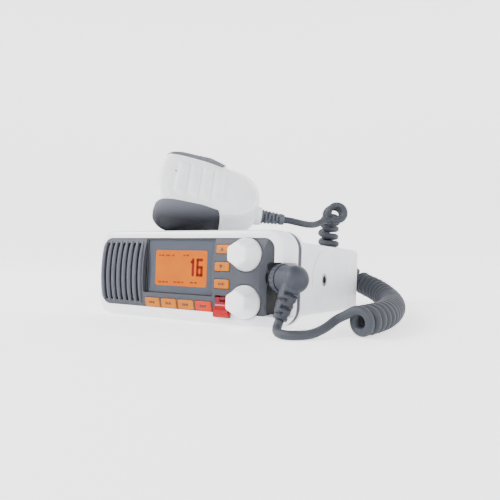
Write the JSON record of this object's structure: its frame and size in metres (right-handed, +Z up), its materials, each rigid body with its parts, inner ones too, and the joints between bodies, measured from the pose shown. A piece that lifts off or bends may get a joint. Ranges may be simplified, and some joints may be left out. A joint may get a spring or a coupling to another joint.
{
  "type": "vhf marine radio",
  "caption": "Fixed-mount marine radio with a lit display, keys, two knobs, a guarded distress key and a hand microphone on a curly cord that lies on top of it.",
  "frame": {"origin": "centre of the footprint at the level of the table that the set stands on, without the free cord", "axes": "+X right seen from the front, +Y towards the back, +Z up"},
  "size_m": [0.2111, 0.1829, 0.1166],
  "materials": {
    "housing_white": "satin paint",
    "sink_metal": "cast, satin",
    "screw_steel": "plain",
    "bezel_white": "semi-gloss",
    "gasket_rubber": "matt",
    "panel_grey": "satin",
    "black_plastic": "matt",
    "speaker_paper": "matt",
    "dark_steel": "plain",
    "display_blue": "gloss window",
    "display_amber": "lit display",
    "light_diffuser": "matt",
    "board_green": "solder mask",
    "key_amber": "backlit rubber",
    "key_orange": "backlit rubber",
    "cover_red": "semi-gloss",
    "knob_white": "satin",
    "shield_tin": "tinned",
    "brass_insert": "plain",
    "socket_nickel": "nickel",
    "plug_grey": "matt",
    "cord_grey": "satin",
    "mic_white": "semi-gloss",
    "grip_light": "matt",
    "grip_dark": "matt",
    "ptt_black": "satin"
  },
  "bodies": {
    "set": {"rear_housing": "housing_white", "heat_sink": "sink_metal", "case_screws": "screw_steel", "front_bezel": "bezel_white", "bezel_gasket": "gasket_rubber", "front_panel": "panel_grey", "speaker_mesh": "black_plastic", "speaker_frame": "black_plastic", "speaker_cone": "speaker_paper", "speaker_magnet": "dark_steel", "display_lens": "display_blue", "lcd_glass": "display_amber", "lcd_backlight": "light_diffuser", "front_board": "board_green", "key_switches": "black_plastic", "cover_pin": "screw_steel", "volume_pot": "dark_steel", "squelch_pot": "dark_steel", "main_board": "board_green", "rf_shield": "shield_tin", "bracket_insert_left": "brass_insert", "bracket_insert_right": "brass_insert", "antenna_socket": "socket_nickel", "antenna_contact": "socket_nickel", "power_gland": "black_plastic", "speaker_jack": "black_plastic", "mic_socket": "black_plastic", "plug_ring": "plug_grey", "plug_boot": "cord_grey", "cord_to_plug": "cord_grey", "cord_coil": "cord_grey", "cord_to_mic": "cord_grey"},
    "volume_control": {"volume_knob": "knob_white", "volume_shaft": "screw_steel"},
    "squelch_control": {"squelch_knob": "knob_white", "squelch_shaft": "screw_steel"},
    "cover": {"distress_cover": "cover_red"},
    "microphone": {"mic_relief": "cord_grey", "mic_front_shell": "mic_white", "mic_back_shell": "mic_white", "mic_upper_grip": "grip_light", "mic_lower_grip": "grip_dark", "mic_capsule": "dark_steel", "mic_board": "board_green", "mic_screws": "screw_steel", "hanger_stud": "socket_nickel"},
    "talk_key": {"ptt_key": "ptt_black"},
    "row_key_1": {"row_key_1": "key_amber"},
    "row_key_2": {"row_key_2": "key_amber"},
    "row_key_3": {"row_key_3": "key_amber"},
    "row_key_4": {"row_key_4": "key_orange"},
    "up_key": {"up_key": "key_amber"},
    "down_key": {"down_key": "key_amber"},
    "scan_key": {"scan_key": "key_amber"},
    "distress_key": {"distress_key": "cover_red"}
  },
  "joints": [
    {"name": "volume_turn", "type": "hinge", "parent": "set", "child": "volume_control", "pos_m": [0.0501, -0.06427, 0.04441], "axis": [0, -0.9983, 0.0582], "range_deg": [-150, 150]},
    {"name": "squelch_turn", "type": "hinge", "parent": "set", "child": "squelch_control", "pos_m": [0.0501, -0.06594, 0.01586], "axis": [0, -0.9983, 0.0582], "range_deg": [-150, 150]},
    {"name": "row_key_1_press", "type": "slide", "parent": "set", "child": "row_key_1", "axis": [0, 0.9983, -0.0582], "range_m": [0, 0.0008], "stiffness_N_per_m": 600, "springref_m": -0.0005},
    {"name": "row_key_2_press", "type": "slide", "parent": "set", "child": "row_key_2", "axis": [0, 0.9983, -0.0582], "range_m": [0, 0.0008], "stiffness_N_per_m": 600, "springref_m": -0.0005},
    {"name": "row_key_3_press", "type": "slide", "parent": "set", "child": "row_key_3", "axis": [0, 0.9983, -0.0582], "range_m": [0, 0.0008], "stiffness_N_per_m": 600, "springref_m": -0.0005},
    {"name": "row_key_4_press", "type": "slide", "parent": "set", "child": "row_key_4", "axis": [0, 0.9983, -0.0582], "range_m": [0, 0.0008], "stiffness_N_per_m": 600, "springref_m": -0.0005},
    {"name": "up_key_press", "type": "slide", "parent": "set", "child": "up_key", "axis": [0, 0.9983, -0.0582], "range_m": [0, 0.0008], "stiffness_N_per_m": 600, "springref_m": -0.0005},
    {"name": "down_key_press", "type": "slide", "parent": "set", "child": "down_key", "axis": [0, 0.9983, -0.0582], "range_m": [0, 0.0008], "stiffness_N_per_m": 600, "springref_m": -0.0005},
    {"name": "scan_key_press", "type": "slide", "parent": "set", "child": "scan_key", "axis": [0, 0.9983, -0.0582], "range_m": [0, 0.0008], "stiffness_N_per_m": 600, "springref_m": -0.0005},
    {"name": "distress_key_press", "type": "slide", "parent": "set", "child": "distress_key", "axis": [0, 0.9983, -0.0582], "range_m": [0, 0.0008], "stiffness_N_per_m": 600, "springref_m": -0.0005},
    {"name": "cover_lift", "type": "hinge", "parent": "set", "child": "cover", "pos_m": [0.0337, -0.06109, 0.01647], "axis": [-1, 0, 0], "range_deg": [0, 95], "stiffness_Nm_per_rad": 0.002, "springref_deg": -17.19},
    {"name": "microphone_lift", "type": "slide", "parent": "set", "child": "microphone", "axis": [0, 0, 1], "range_m": [0, 0.06]},
    {"name": "talk_press", "type": "slide", "parent": "microphone", "child": "talk_key", "axis": [-0.2916, 0.5827, 0.7586], "range_m": [0, 0.001], "stiffness_N_per_m": 800, "springref_m": -0.0005}
  ]
}
